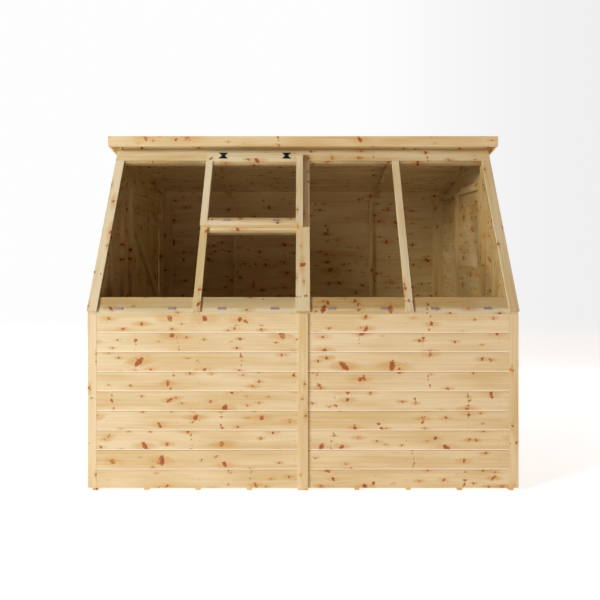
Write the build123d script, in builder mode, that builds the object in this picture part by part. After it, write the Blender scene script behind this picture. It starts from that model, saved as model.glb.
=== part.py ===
"""Potting shed in softwood: a panelled building on bearers, with a leaning glazed front, an opening
vent, a roof that falls to the back and a ledged door in the left side.

+X is the right-hand side seen from the front, +Y is the back, +Z is up. The origin is on the ground
under the middle of the whole shed. Lengths are millimetres. Depths are measured back from the face of
the front boards and are turned into Y by at()."""
import math
import os

from build123d import *

os.makedirs("parts", exist_ok=True)

# Overall sizes
WIDTH = 2420.0
DEPTH = 1738.0
SILL_Z = 994.0
ROOF_PITCH = 11.6
GLAZE_LEAN = 29.25
GLAZE_LENGTH = 1158.0

# Boards, framing and floor
BOARD_T = 12.0
BOARD_FOOT_Z = 19.0
FRAME_T = 28.0
STUD_W = 45.0
BACK_STUD_W = 30.0
PANEL_GAP = 2.0
BEARER_W = 28.0
BEARER_H = 28.0
BEARERS_PER_PANEL = 5
FLOOR_T = 12.0

# Cover strips
SIDE_TRIM_W = 45.0
JOINT_STRIP_W = 56.0
JOINT_STRIP_T = 8.0
JOINT_STRIP_RISE = 6.0
JOINT_STRIP_FOOT_Z = 16.0

# Side panels
JOINT_SETBACK = 13.0
FRONT_PANEL_STUD_D = 292.0
REAR_STUD_SETBACK = 622.0
BACK_STUD_X = 580.0

# Door
DOORWAY_FRONT_W = 169.0
DOORWAY_BACK_W = 197.0
DOOR_CLEAR = 6.0
DOOR_LEDGE_T = 22.0
DOOR_LEDGE_W = 95.0
STOP_W = 11.0
STOP_CLEAR = 5.0
UPPER_LEDGE_DROP = 159.0
UPPER_LEDGE_W = 58.0
MIDDLE_LEDGE_Z = 830.0
BOTTOM_LEDGE_RISE = 110.0
BRACE_W = 70.0
THRESHOLD_H = 28.0
STRAP_L = 300.0
STRAP_W = 34.0
STRAP_END_W = 18.0
STRAP_T = 3.0
HINGE_PLATE_W = 30.0
HINGE_PLATE_H = 110.0
KNUCKLE_R = 6.0
PIN_R = 3.0
PIN_CLEAR = 0.4
KNUCKLE_GAP = 0.5
HANDLE_L = 150.0
HANDLE_REACH = 32.0
HANDLE_R = 6.0
HANDLE_INSET = 60.0
HANDLE_Z = 960.0

# Leaning window
RAIL_W = 105.0
SIDE_STILE_W = 50.0
INNER_STILE_W = 40.0
MUNTIN_W = 40.0
GLASS_T = 3.0
GLASS_FOOT_S = 35.0
GLASS_HEAD_LAP = 60.0
GLASS_GAP = 4.0
GLASS_EDGE_COVER = 21.0
BATTEN_T = 6.0
BATTEN_W = 44.0
MULLION_W = 82.0
SIDE_STRIP_W = 57.0
SIDE_STRIP_LAP = 6.0
STRIP_FOOT_S = 14.0
TOP_BOARD_W = 90.0
TRANSOM_S = 531.0
TRANSOM_W = 74.0
TRANSOM_GLASS_LAP = 14.0
VENT_LAP = 41.0
CROSS_BATTEN_W = 40.0

# Opening vent
VENT_T = 28.0
VENT_HEAD_DROP = 73.0
VENT_STILE_W = 43.0
VENT_RAIL_W = 54.0
VENT_HEAD_W = 66.0
VENT_GLASS_DROP = 6.0
VENT_GLASS_LAP = 22.0
VENT_GROOVE = 6.0
VENT_GLASS_CLEAR = 1.0
HINGE_STRIP_W = 24.0
HINGE_STRIP_GAP = 0.5
VENT_HINGE_W = 59.0
VENT_HINGE_L = 46.0
VENT_HINGE_WAIST = 17.0
VENT_HINGE_T = 2.0
VENT_HINGE_X = 204.0
VENT_PIN_R = 2.0

# Glazing clips
CLIP_W = 42.0
CLIP_L = 14.0
CLIP_LAP = 7.0
CLIP_T = 1.5
CLIP_GAP = 1.0
CLIP_X = 149.0

# Roof
ROOF_BOARD_T = 12.0
ROOF_SIDE_LAP = 61.0
ROOF_FRONT_LAP = 76.0
ROOF_BACK_LAP = 62.0
FASCIA_T = 12.0
FASCIA_H = 66.0
FELT_T = 2.0
HEADER_T = 28.0
HEADER_H = 51.5
RAFTER_W = 28.0
RAFTER_H = 45.0
RAFTER_X = 615.0
PURLIN_H = 39.0

# Derived levels and places
HALF_W = WIDTH / 2
WALL_OUT_X = HALF_W - BOARD_T
WALL_IN_X = WALL_OUT_X - BOARD_T
FRAME_IN_X = WALL_IN_X - FRAME_T
CORNER_STRIP_W = HALF_W - FRAME_IN_X
FLOOR_TOP = BEARER_H + FLOOR_T
BACK_BOARD_D = DEPTH - BOARD_T
BACK_FRAME_D = BACK_BOARD_D - FRAME_T
ROOF_BACK_D = DEPTH + ROOF_BACK_LAP
FRONT_Y = -(ROOF_BACK_D - JOINT_STRIP_T) / 2
LEAN = math.radians(GLAZE_LEAN)
SIN_L = math.sin(LEAN)
COS_L = math.cos(LEAN)
TAN_L = math.tan(LEAN)
TAN_R = math.tan(math.radians(ROOF_PITCH))
COS_R = math.cos(math.radians(ROOF_PITCH))
SILL_BACK_D = FRAME_T * COS_L
SILL_BACK_Z = SILL_Z - FRAME_T * SIN_L
HEAD_D = GLAZE_LENGTH * SIN_L
HEAD_Z = SILL_Z + GLAZE_LENGTH * COS_L
HEAD_BACK_D = HEAD_D + FRAME_T * COS_L
HEAD_BACK_Z = HEAD_Z - FRAME_T * SIN_L
HEADER_D = HEAD_D + PANEL_GAP
HEADER_BACK_D = HEADER_D + HEADER_T
EAVES_Z = HEAD_Z + HEADER_H - (BACK_FRAME_D - HEADER_D) * TAN_R
PANEL_TOP = EAVES_Z - FRAME_T
ROOF_FRONT_D = HEAD_D - ROOF_FRONT_LAP
SIDE_JOINT_D = HEAD_D - JOINT_SETBACK
REAR_PANEL_STUD_D = SIDE_JOINT_D + REAR_STUD_SETBACK
STRIP_OUT = GLASS_T + BATTEN_T
VENT_OUT = STRIP_OUT + VENT_T
BAY_X = (HALF_W - SIDE_STRIP_W + SIDE_STRIP_LAP + MULLION_W / 2) / 2
DOORWAY_D = SIDE_JOINT_D + DOORWAY_FRONT_W
DOORWAY_END_D = BACK_BOARD_D - DOORWAY_BACK_W
DOORWAY_TOP = PANEL_TOP - STUD_W
THRESHOLD_TOP = FLOOR_TOP + THRESHOLD_H
LEAF_D = DOORWAY_D + DOOR_CLEAR
LEAF_END_D = DOORWAY_END_D - DOOR_CLEAR
LEAF_FOOT = THRESHOLD_TOP + DOOR_CLEAR
LEAF_HEAD = DOORWAY_TOP - DOOR_CLEAR
STOP_X = -WALL_IN_X + STOP_CLEAR
STOP_T = FRAME_T - STOP_CLEAR
PIN_X = -(WALL_OUT_X + KNUCKLE_R)
PIN_D = DOORWAY_END_D - DOOR_CLEAR / 2
VENT_FOOT_S = TRANSOM_S + TRANSOM_W - VENT_LAP
VENT_TOP_S = GLAZE_LENGTH - VENT_HEAD_DROP
VENT_LEFT_X = BAY_X + BATTEN_W / 2
SLOPE = Plane(origin=(0, FRONT_Y, SILL_Z), x_dir=(1, 0, 0), z_dir=(0, -COS_L, SIN_L))


def at(depth):
    """Y of a point this far behind the face of the front boards."""
    return FRONT_Y + depth


def roof_z(depth):
    """Height of the underside of the roof boards."""
    return EAVES_Z + (BACK_FRAME_D - depth) * TAN_R


def glaze_z(depth):
    """Height of the underside of the leaning window frame."""
    return SILL_BACK_Z + (depth - SILL_BACK_D) / TAN_L


def side_plate(x, thickness, points):
    """Plate with this outline of (depth, height) points, from x by a thickness in +X."""
    with BuildSketch(Plane.YZ.offset(x)) as outline:
        with BuildLine():
            Polyline(*[(at(depth), z) for depth, z in points], close=True)
        make_face()
    extrude(outline.sketch, amount=thickness)


def cross_face(depth):
    """Upright plane across the shed, seen from the front."""
    return Plane(origin=(0, at(depth), 0), x_dir=(1, 0, 0), z_dir=(0, -1, 0))


def cross_box(x0, x1, z0, z1, depth, thickness):
    """Upright board across the shed whose front face is at a depth."""
    with BuildSketch(cross_face(depth)) as outline:
        with Locations(((x0 + x1) / 2, (z0 + z1) / 2)):
            Rectangle(x1 - x0, z1 - z0)
    extrude(outline.sketch, amount=-thickness)


def side_box(x, thickness, d0, d1, z0, z1):
    """Upright board along the side whose inner or left face is at x."""
    side_plate(x, thickness, [(d0, z0), (d1, z0), (d1, z1), (d0, z1)])


def slope_box(x0, x1, s0, s1, height, thickness, mode=Mode.ADD):
    """Board lying on the leaning window, between two distances up its slope."""
    with BuildSketch(SLOPE.offset(height)) as outline:
        with Locations(((x0 + x1) / 2, (s0 + s1) / 2)):
            Rectangle(x1 - x0, s1 - s0)
    extrude(outline.sketch, amount=thickness, mode=mode)


def both_sides(span):
    """A span of x and its mirror image."""
    return [span, (-span[1], -span[0])]


def finish(part, name):
    part.label = name
    export_step(part, "parts/" + name + ".step")


# Floor
FLOOR_HALF = WALL_IN_X - PANEL_GAP / 2
BEARER_PITCH = (FLOOR_HALF - BEARER_W) / (BEARERS_PER_PANEL - 1)
FLOOR_MID_X = (WALL_IN_X + PANEL_GAP / 2) / 2
FLOOR_LEN = BACK_BOARD_D - BOARD_T
FLOOR_MID_Y = at(BOARD_T + FLOOR_LEN / 2)

with BuildPart() as floor_bearers:
    with BuildSketch(Plane.XY):
        with Locations((-FLOOR_MID_X, FLOOR_MID_Y), (FLOOR_MID_X, FLOOR_MID_Y)):
            with GridLocations(BEARER_PITCH, 1, BEARERS_PER_PANEL, 1):
                Rectangle(BEARER_W, FLOOR_LEN)
    extrude(amount=BEARER_H)
finish(floor_bearers.part, "floor_bearers")

with BuildPart() as floor_boards:
    with BuildSketch(Plane.XY.offset(BEARER_H)):
        with Locations((-FLOOR_MID_X, FLOOR_MID_Y), (FLOOR_MID_X, FLOOR_MID_Y)):
            Rectangle(FLOOR_HALF, FLOOR_LEN)
    extrude(amount=FLOOR_T)
finish(floor_boards.part, "floor_boards")

# Front wall, below the window
FRONT_IN_X = HALF_W - CORNER_STRIP_W

with BuildPart() as front_wall:
    for x0, x1 in both_sides((PANEL_GAP / 2, FRONT_IN_X)):
        side_plate(
            x0,
            x1 - x0,
            [
                (0, BOARD_FOOT_Z),
                (BOARD_T, BOARD_FOOT_Z),
                (BOARD_T, SILL_Z - BOARD_T * TAN_L),
                (0, SILL_Z),
            ],
        )
finish(front_wall.part, "front_wall")

with BuildPart() as front_corner_strips:
    for x0, x1 in both_sides((FRONT_IN_X, HALF_W)):
        side_plate(
            x0,
            x1 - x0,
            [
                (0, BOARD_FOOT_Z),
                (BOARD_T, BOARD_FOOT_Z),
                (BOARD_T, SILL_Z - BOARD_T * TAN_L),
                (0, SILL_Z),
            ],
        )
finish(front_corner_strips.part, "front_corner_strips")

with BuildPart() as front_joint_strip:
    cross_box(
        -JOINT_STRIP_W / 2,
        JOINT_STRIP_W / 2,
        JOINT_STRIP_FOOT_Z,
        SILL_Z + JOINT_STRIP_RISE,
        -JOINT_STRIP_T,
        JOINT_STRIP_T,
    )
finish(front_joint_strip.part, "front_joint_strip")


def cross_frame(x0, x1, top, depth, middle, middle_w):
    """Rails and studs of a panel across the shed."""
    cross_box(x0, x1, FLOOR_TOP, FLOOR_TOP + STUD_W, depth, FRAME_T)
    cross_box(x0, x1, top - STUD_W, top, depth, FRAME_T)
    cross_box(x0, x0 + STUD_W, FLOOR_TOP, top, depth, FRAME_T)
    cross_box(x1 - STUD_W, x1, FLOOR_TOP, top, depth, FRAME_T)
    cross_box(middle - middle_w / 2, middle + middle_w / 2, FLOOR_TOP, top, depth, FRAME_T)


with BuildPart() as front_frame:
    for x0, x1 in both_sides((PANEL_GAP / 2, FRAME_IN_X)):
        cross_frame(x0, x1, SILL_BACK_Z, BOARD_T, (x0 + x1) / 2, STUD_W)
finish(front_frame.part, "front_frame")

# Back wall
BACK_TOP_OUT = roof_z(DEPTH)
BACK_TOP_IN = roof_z(BACK_BOARD_D)
BACK_OUTLINE = [
    (BACK_BOARD_D, BOARD_FOOT_Z),
    (DEPTH, BOARD_FOOT_Z),
    (DEPTH, BACK_TOP_OUT),
    (BACK_BOARD_D, BACK_TOP_IN),
]

with BuildPart() as back_wall:
    for x0, x1 in both_sides((PANEL_GAP / 2, FRONT_IN_X)):
        side_plate(x0, x1 - x0, BACK_OUTLINE)
finish(back_wall.part, "back_wall")

with BuildPart() as back_corner_strips:
    for x0, x1 in both_sides((FRONT_IN_X, HALF_W)):
        side_plate(x0, x1 - x0, BACK_OUTLINE)
finish(back_corner_strips.part, "back_corner_strips")

with BuildPart() as back_joint_strip:
    side_plate(
        -JOINT_STRIP_W / 2,
        JOINT_STRIP_W,
        [
            (DEPTH, JOINT_STRIP_FOOT_Z),
            (DEPTH + JOINT_STRIP_T, JOINT_STRIP_FOOT_Z),
            (DEPTH + JOINT_STRIP_T, roof_z(DEPTH + JOINT_STRIP_T)),
            (DEPTH, BACK_TOP_OUT),
        ],
    )
finish(back_joint_strip.part, "back_joint_strip")

with BuildPart() as back_frame:
    for side, (x0, x1) in zip((1, -1), both_sides((PANEL_GAP / 2, FRAME_IN_X))):
        cross_frame(x0, x1, PANEL_TOP, BACK_FRAME_D, side * BACK_STUD_X, BACK_STUD_W)
finish(back_frame.part, "back_frame")

# Side walls. The front panel follows the window's slope and the rear panel the roof's
FRONT_PANEL_END = SIDE_JOINT_D - PANEL_GAP / 2
REAR_PANEL_START = SIDE_JOINT_D + PANEL_GAP / 2
FRONT_PANEL = [
    (BOARD_T, BOARD_FOOT_Z),
    (FRONT_PANEL_END, BOARD_FOOT_Z),
    (FRONT_PANEL_END, glaze_z(FRONT_PANEL_END)),
    (SILL_BACK_D, SILL_BACK_Z),
    (BOARD_T, SILL_Z - BOARD_T * TAN_L),
]
GABLE_TOP = [
    (BACK_BOARD_D, BACK_TOP_IN),
    (HEAD_D, roof_z(HEAD_D)),
    (HEAD_D, HEAD_Z),
    (HEAD_BACK_D, HEAD_BACK_Z),
    (REAR_PANEL_START, glaze_z(REAR_PANEL_START)),
]

with BuildPart() as right_wall:
    side_plate(WALL_IN_X, BOARD_T, FRONT_PANEL)
    side_plate(
        WALL_IN_X,
        BOARD_T,
        [(REAR_PANEL_START, BOARD_FOOT_Z), (BACK_BOARD_D, BOARD_FOOT_Z)] + GABLE_TOP,
    )
finish(right_wall.part, "right_wall")

with BuildPart() as left_wall_front:
    side_plate(-WALL_OUT_X, BOARD_T, FRONT_PANEL)
finish(left_wall_front.part, "left_wall_front")

with BuildPart() as left_wall_beside_door:
    side_box(-WALL_OUT_X, BOARD_T, REAR_PANEL_START, DOORWAY_D, BOARD_FOOT_Z, DOORWAY_TOP)
    side_box(-WALL_OUT_X, BOARD_T, DOORWAY_END_D, BACK_BOARD_D, BOARD_FOOT_Z, DOORWAY_TOP)
finish(left_wall_beside_door.part, "left_wall_beside_door")

with BuildPart() as left_wall_over_door:
    side_plate(
        -WALL_OUT_X,
        BOARD_T,
        [(REAR_PANEL_START, DOORWAY_TOP), (BACK_BOARD_D, DOORWAY_TOP)] + GABLE_TOP,
    )
finish(left_wall_over_door.part, "left_wall_over_door")

with BuildPart() as door_sill_board:
    side_box(-WALL_OUT_X, BOARD_T, DOORWAY_D, DOORWAY_END_D, BOARD_FOOT_Z, THRESHOLD_TOP)
finish(door_sill_board.part, "door_sill_board")


def front_side_frame(x):
    """Rails and studs of the sloping front panel of a side."""
    slope_w = STUD_W / SIN_L
    side_plate(
        x,
        FRAME_T,
        [
            (BOARD_T, FLOOR_TOP),
            (BOARD_T + STUD_W, FLOOR_TOP),
            (BOARD_T + STUD_W, glaze_z(BOARD_T + STUD_W)),
            (SILL_BACK_D, SILL_BACK_Z),
            (BOARD_T, SILL_Z - BOARD_T * TAN_L),
        ],
    )
    side_box(x, FRAME_T, BOARD_T, FRONT_PANEL_END, FLOOR_TOP, FLOOR_TOP + STUD_W)
    side_plate(
        x,
        FRAME_T,
        [
            (SILL_BACK_D, SILL_BACK_Z),
            (SILL_BACK_D, SILL_BACK_Z - slope_w),
            (FRONT_PANEL_END, glaze_z(FRONT_PANEL_END) - slope_w),
            (FRONT_PANEL_END, glaze_z(FRONT_PANEL_END)),
        ],
    )
    for d0 in (FRONT_PANEL_STUD_D - STUD_W / 2, FRONT_PANEL_END - STUD_W):
        side_plate(
            x,
            FRAME_T,
            [
                (d0, FLOOR_TOP),
                (d0 + STUD_W, FLOOR_TOP),
                (d0 + STUD_W, glaze_z(d0 + STUD_W)),
                (d0, glaze_z(d0)),
            ],
        )


def rear_side_frame(x, studs):
    """Rails and studs of the rear panel of a side, with its studs at these depths."""
    side_box(x, FRAME_T, REAR_PANEL_START, BACK_BOARD_D, DOORWAY_TOP, PANEL_TOP)
    for d0 in studs:
        side_box(x, FRAME_T, d0, d0 + STUD_W, FLOOR_TOP, PANEL_TOP)


with BuildPart() as right_frame:
    front_side_frame(FRAME_IN_X)
    side_box(FRAME_IN_X, FRAME_T, REAR_PANEL_START, BACK_BOARD_D, FLOOR_TOP, FLOOR_TOP + STUD_W)
    rear_side_frame(
        FRAME_IN_X,
        (REAR_PANEL_START, REAR_PANEL_STUD_D - STUD_W / 2, BACK_BOARD_D - STUD_W),
    )
finish(right_frame.part, "right_frame")

with BuildPart() as left_frame_front:
    front_side_frame(-WALL_IN_X)
finish(left_frame_front.part, "left_frame_front")

with BuildPart() as left_door_frame:
    rear_side_frame(
        -WALL_IN_X,
        (REAR_PANEL_START, DOORWAY_D - STUD_W, DOORWAY_END_D, BACK_BOARD_D - STUD_W),
    )
    side_box(-WALL_IN_X, FRAME_T, REAR_PANEL_START, DOORWAY_D, FLOOR_TOP, FLOOR_TOP + STUD_W)
    side_box(-WALL_IN_X, FRAME_T, DOORWAY_END_D, BACK_BOARD_D, FLOOR_TOP, FLOOR_TOP + STUD_W)
    side_box(-WALL_IN_X, FRAME_T, DOORWAY_D, DOORWAY_END_D, FLOOR_TOP, THRESHOLD_TOP)
finish(left_door_frame.part, "left_door_frame")

# Thin strips round the doorway that the shut door's edges cover from outside
with BuildPart() as door_stops:
    for z0 in (THRESHOLD_TOP, DOORWAY_TOP - STOP_W):
        side_box(STOP_X, STOP_T, DOORWAY_D, DOORWAY_END_D, z0, z0 + STOP_W)
    for d0 in (DOORWAY_D, DOORWAY_END_D - STOP_W):
        side_box(STOP_X, STOP_T, d0, d0 + STOP_W, THRESHOLD_TOP, DOORWAY_TOP)
finish(door_stops.part, "door_stops")

# Cover strips on the side walls: front corner, panel joint and back corner
TRIM_JOINT_D = SIDE_JOINT_D - SIDE_TRIM_W / 2
FRONT_TRIM = [
    (BOARD_T, BOARD_FOOT_Z),
    (BOARD_T + SIDE_TRIM_W, BOARD_FOOT_Z),
    (BOARD_T + SIDE_TRIM_W, glaze_z(BOARD_T + SIDE_TRIM_W)),
    (SILL_BACK_D, SILL_BACK_Z),
    (BOARD_T, SILL_Z - BOARD_T * TAN_L),
]
JOINT_TRIM = [
    (TRIM_JOINT_D, BOARD_FOOT_Z),
    (TRIM_JOINT_D + SIDE_TRIM_W, BOARD_FOOT_Z),
    (TRIM_JOINT_D + SIDE_TRIM_W, glaze_z(TRIM_JOINT_D + SIDE_TRIM_W)),
    (TRIM_JOINT_D, glaze_z(TRIM_JOINT_D)),
]
BACK_TRIM = [
    (BACK_BOARD_D - SIDE_TRIM_W, BOARD_FOOT_Z),
    (BACK_BOARD_D, BOARD_FOOT_Z),
    (BACK_BOARD_D, BACK_TOP_IN),
    (BACK_BOARD_D - SIDE_TRIM_W, roof_z(BACK_BOARD_D - SIDE_TRIM_W)),
]

with BuildPart() as side_trims:
    for x in (WALL_OUT_X, -HALF_W):
        for outline in (FRONT_TRIM, JOINT_TRIM, BACK_TRIM):
            side_plate(x, BOARD_T, outline)
finish(side_trims.part, "side_trims")

# Door: upright boards on ledges and braces, with the ledges inside
LEDGE_D = DOORWAY_D + STOP_W + STOP_CLEAR
LEDGE_END_D = DOORWAY_END_D - STOP_W - STOP_CLEAR
BOTTOM_LEDGE_Z = LEAF_FOOT + BOTTOM_LEDGE_RISE
TOP_LEDGE_Z = DOORWAY_TOP - STOP_W - STOP_CLEAR - DOOR_LEDGE_W
UPPER_LEDGE_Z = LEAF_HEAD - UPPER_LEDGE_DROP - UPPER_LEDGE_W
LEDGES = [
    (BOTTOM_LEDGE_Z, DOOR_LEDGE_W),
    (MIDDLE_LEDGE_Z, DOOR_LEDGE_W),
    (UPPER_LEDGE_Z, UPPER_LEDGE_W),
    (TOP_LEDGE_Z, DOOR_LEDGE_W),
]
BRACES = [
    (BOTTOM_LEDGE_Z + DOOR_LEDGE_W, MIDDLE_LEDGE_Z),
    (MIDDLE_LEDGE_Z + DOOR_LEDGE_W, UPPER_LEDGE_Z),
]
BRACE_RUN = BRACE_W * 1.2

with BuildPart() as door_boards:
    side_box(-WALL_OUT_X, BOARD_T, LEAF_D, LEAF_END_D, LEAF_FOOT, LEAF_HEAD)
finish(door_boards.part, "door_boards")

with BuildPart() as door_ledges:
    for z0, height in LEDGES:
        side_box(-WALL_IN_X, DOOR_LEDGE_T, LEDGE_D, LEDGE_END_D, z0, z0 + height)
finish(door_ledges.part, "door_ledges")

with BuildPart() as door_braces:
    for z0, z1 in BRACES:
        side_plate(
            -WALL_IN_X,
            DOOR_LEDGE_T,
            [
                (LEDGE_END_D - BRACE_RUN, z0),
                (LEDGE_END_D, z0),
                (LEDGE_D + BRACE_RUN, z1),
                (LEDGE_D, z1),
            ],
        )
finish(door_braces.part, "door_braces")

# Strap hinges on the outside of the door, one at each of three ledges
STRAP_ZS = (
    BOTTOM_LEDGE_Z + DOOR_LEDGE_W / 2,
    MIDDLE_LEDGE_Z + DOOR_LEDGE_W / 2,
    UPPER_LEDGE_Z + UPPER_LEDGE_W / 2,
)
KNUCKLE_H = STRAP_W
FIXED_KNUCKLE_H = (HINGE_PLATE_H - KNUCKLE_H) / 2 - KNUCKLE_GAP
STRAP_ROOT_D = PIN_D - KNUCKLE_R * 0.4


def knuckle(z0, height, radius, mode=Mode.ADD):
    """Round barrel on the door's pin line."""
    with BuildSketch(Plane.XY.offset(z0)) as barrel:
        with Locations((PIN_X, at(PIN_D))):
            Circle(radius)
    extrude(barrel.sketch, amount=height, mode=mode)


with BuildPart() as door_strap_hinges:
    for z in STRAP_ZS:
        side_plate(
            -WALL_OUT_X - STRAP_T,
            STRAP_T,
            [
                (STRAP_ROOT_D, z - STRAP_W / 2),
                (STRAP_ROOT_D, z + STRAP_W / 2),
                (PIN_D - STRAP_L, z + STRAP_END_W / 2),
                (PIN_D - STRAP_L, z - STRAP_END_W / 2),
            ],
        )
        knuckle(z - KNUCKLE_H / 2, KNUCKLE_H, KNUCKLE_R)
        knuckle(z - KNUCKLE_H / 2, KNUCKLE_H, PIN_R + PIN_CLEAR, Mode.SUBTRACT)
finish(door_strap_hinges.part, "door_strap_hinges")

with BuildPart() as door_hinge_plates:
    for z in STRAP_ZS:
        for z0 in (z - HINGE_PLATE_H / 2, z + KNUCKLE_H / 2 + KNUCKLE_GAP):
            knuckle(z0, FIXED_KNUCKLE_H, KNUCKLE_R)
            side_box(
                -WALL_OUT_X - STRAP_T,
                STRAP_T,
                PIN_D + KNUCKLE_R * 0.4,
                PIN_D + HINGE_PLATE_W,
                z0,
                z0 + FIXED_KNUCKLE_H,
            )
        side_box(
            -WALL_OUT_X - STRAP_T,
            STRAP_T,
            PIN_D + KNUCKLE_R + DOOR_CLEAR,
            PIN_D + HINGE_PLATE_W,
            z - HINGE_PLATE_H / 2,
            z + HINGE_PLATE_H / 2,
        )
        knuckle(z - HINGE_PLATE_H / 2, HINGE_PLATE_H, PIN_R)
finish(door_hinge_plates.part, "door_hinge_plates")

HANDLE_D = LEAF_D + HANDLE_INSET
with BuildPart() as door_handle:
    with BuildLine():
        FilletPolyline(
            (-WALL_OUT_X, at(HANDLE_D), HANDLE_Z - HANDLE_L / 2),
            (-WALL_OUT_X - HANDLE_REACH, at(HANDLE_D), HANDLE_Z - HANDLE_L / 2),
            (-WALL_OUT_X - HANDLE_REACH, at(HANDLE_D), HANDLE_Z + HANDLE_L / 2),
            (-WALL_OUT_X, at(HANDLE_D), HANDLE_Z + HANDLE_L / 2),
            radius=HANDLE_R * 2,
        )
    with BuildSketch(
        Plane(
            origin=(-WALL_OUT_X, at(HANDLE_D), HANDLE_Z - HANDLE_L / 2),
            z_dir=(-1, 0, 0),
        )
    ):
        Circle(HANDLE_R)
    sweep()
finish(door_handle.part, "door_handle")

# Leaning window: two frames side by side
TOP_RAIL_S = GLAZE_LENGTH - RAIL_W
FRAME_SPAN = (PANEL_GAP / 2, HALF_W)
BAY_SPANS = [
    (INNER_STILE_W, BAY_X - MUNTIN_W / 2),
    (BAY_X + MUNTIN_W / 2, HALF_W - SIDE_STILE_W),
]

with BuildPart() as window_frame:
    for x0, x1 in both_sides(FRAME_SPAN):
        slope_box(x0, x1, 0, GLAZE_LENGTH, -FRAME_T, FRAME_T)
    for bay in BAY_SPANS:
        for x0, x1 in both_sides(bay):
            slope_box(x0, x1, RAIL_W, TOP_RAIL_S, -FRAME_T, FRAME_T, Mode.SUBTRACT)
    slope_box(
        -BAY_SPANS[0][1],
        -BAY_SPANS[0][0],
        TRANSOM_S,
        TRANSOM_S + TRANSOM_W,
        -FRAME_T,
        FRAME_T,
    )
finish(window_frame.part, "window_frame")

GLASS_HEAD_S = GLAZE_LENGTH - GLASS_HEAD_LAP
PANE_INNER = (GLASS_GAP, BAY_X - GLASS_GAP)
PANE_OUTER = (BAY_X + GLASS_GAP, HALF_W - SIDE_STRIP_W + GLASS_EDGE_COVER)

with BuildPart() as window_glass:
    for x0, x1 in both_sides(PANE_OUTER):
        slope_box(x0, x1, GLASS_FOOT_S, GLASS_HEAD_S, 0, GLASS_T)
    slope_box(PANE_INNER[0], PANE_INNER[1], GLASS_FOOT_S, GLASS_HEAD_S, 0, GLASS_T)
    slope_box(
        -PANE_INNER[1],
        -PANE_INNER[0],
        GLASS_FOOT_S,
        TRANSOM_S + TRANSOM_GLASS_LAP,
        0,
        GLASS_T,
    )
finish(window_glass.part, "window_glass")

STRIP_HEAD_S = GLAZE_LENGTH - TOP_BOARD_W
CROSS_FOOT_S = TRANSOM_S + TRANSOM_W - CROSS_BATTEN_W

with BuildPart() as glazing_battens:
    for x in (-BAY_X, BAY_X):
        slope_box(x - BATTEN_W / 2, x + BATTEN_W / 2, STRIP_FOOT_S, STRIP_HEAD_S, GLASS_T, BATTEN_T)
    slope_box(-MULLION_W / 2, MULLION_W / 2, STRIP_FOOT_S, STRIP_HEAD_S, GLASS_T, BATTEN_T)
finish(glazing_battens.part, "glazing_battens")

with BuildPart() as vent_sill_batten:
    slope_box(
        -BAY_X + BATTEN_W / 2,
        -MULLION_W / 2,
        CROSS_FOOT_S,
        TRANSOM_S + TRANSOM_W,
        0,
        STRIP_OUT,
    )
finish(vent_sill_batten.part, "vent_sill_batten")

STRIP_OUT_X = HALF_W + SIDE_STRIP_LAP
with BuildPart() as side_cover_strips:
    for x0, x1 in both_sides((STRIP_OUT_X - SIDE_STRIP_W, STRIP_OUT_X)):
        slope_box(x0, x1, STRIP_FOOT_S, STRIP_HEAD_S, GLASS_T, BATTEN_T)
finish(side_cover_strips.part, "side_cover_strips")

with BuildPart() as top_cover_board:
    slope_box(-STRIP_OUT_X, STRIP_OUT_X, STRIP_HEAD_S, GLAZE_LENGTH, GLASS_T, BATTEN_T)
finish(top_cover_board.part, "top_cover_board")

# Opening vent over the upper half of the second bay from the left
VENT_OPEN_X0 = -VENT_LEFT_X + VENT_STILE_W
VENT_OPEN_X1 = -VENT_STILE_W
VENT_OPEN_S0 = VENT_FOOT_S + VENT_RAIL_W
VENT_OPEN_S1 = VENT_TOP_S - VENT_HEAD_W
REBATE_S0 = VENT_OPEN_S0 - VENT_GLASS_LAP
REBATE_S1 = VENT_OPEN_S1 + VENT_GLASS_LAP
GLASS_BED = VENT_OUT - VENT_GLASS_DROP

with BuildPart() as vent_frame:
    slope_box(-VENT_LEFT_X, 0, VENT_FOOT_S, VENT_TOP_S, STRIP_OUT, VENT_T)
    slope_box(
        VENT_OPEN_X0,
        VENT_OPEN_X1,
        VENT_OPEN_S0,
        VENT_OPEN_S1,
        STRIP_OUT,
        VENT_T,
        Mode.SUBTRACT,
    )
    slope_box(
        VENT_OPEN_X0,
        VENT_OPEN_X1,
        REBATE_S0,
        REBATE_S1,
        GLASS_BED,
        VENT_GLASS_DROP,
        Mode.SUBTRACT,
    )
    slope_box(
        VENT_OPEN_X0 - VENT_GROOVE,
        VENT_OPEN_X1 + VENT_GROOVE,
        REBATE_S0,
        REBATE_S1,
        GLASS_BED,
        GLASS_T,
        Mode.SUBTRACT,
    )
finish(vent_frame.part, "vent_frame")

with BuildPart() as vent_glass:
    slope_box(
        VENT_OPEN_X0 - VENT_GROOVE + VENT_GLASS_CLEAR,
        VENT_OPEN_X1 + VENT_GROOVE - VENT_GLASS_CLEAR,
        REBATE_S0 + VENT_GLASS_CLEAR,
        REBATE_S1 - VENT_GLASS_CLEAR,
        GLASS_BED,
        GLASS_T,
    )
finish(vent_glass.part, "vent_glass")

PIN_LINE_S = VENT_TOP_S + HINGE_STRIP_GAP / 2
with BuildPart() as vent_hinge_strip:
    slope_box(
        -VENT_LEFT_X,
        0,
        VENT_TOP_S + HINGE_STRIP_GAP,
        VENT_TOP_S + HINGE_STRIP_GAP + HINGE_STRIP_W,
        STRIP_OUT,
        VENT_T,
    )
finish(vent_hinge_strip.part, "vent_hinge_strip")

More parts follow.
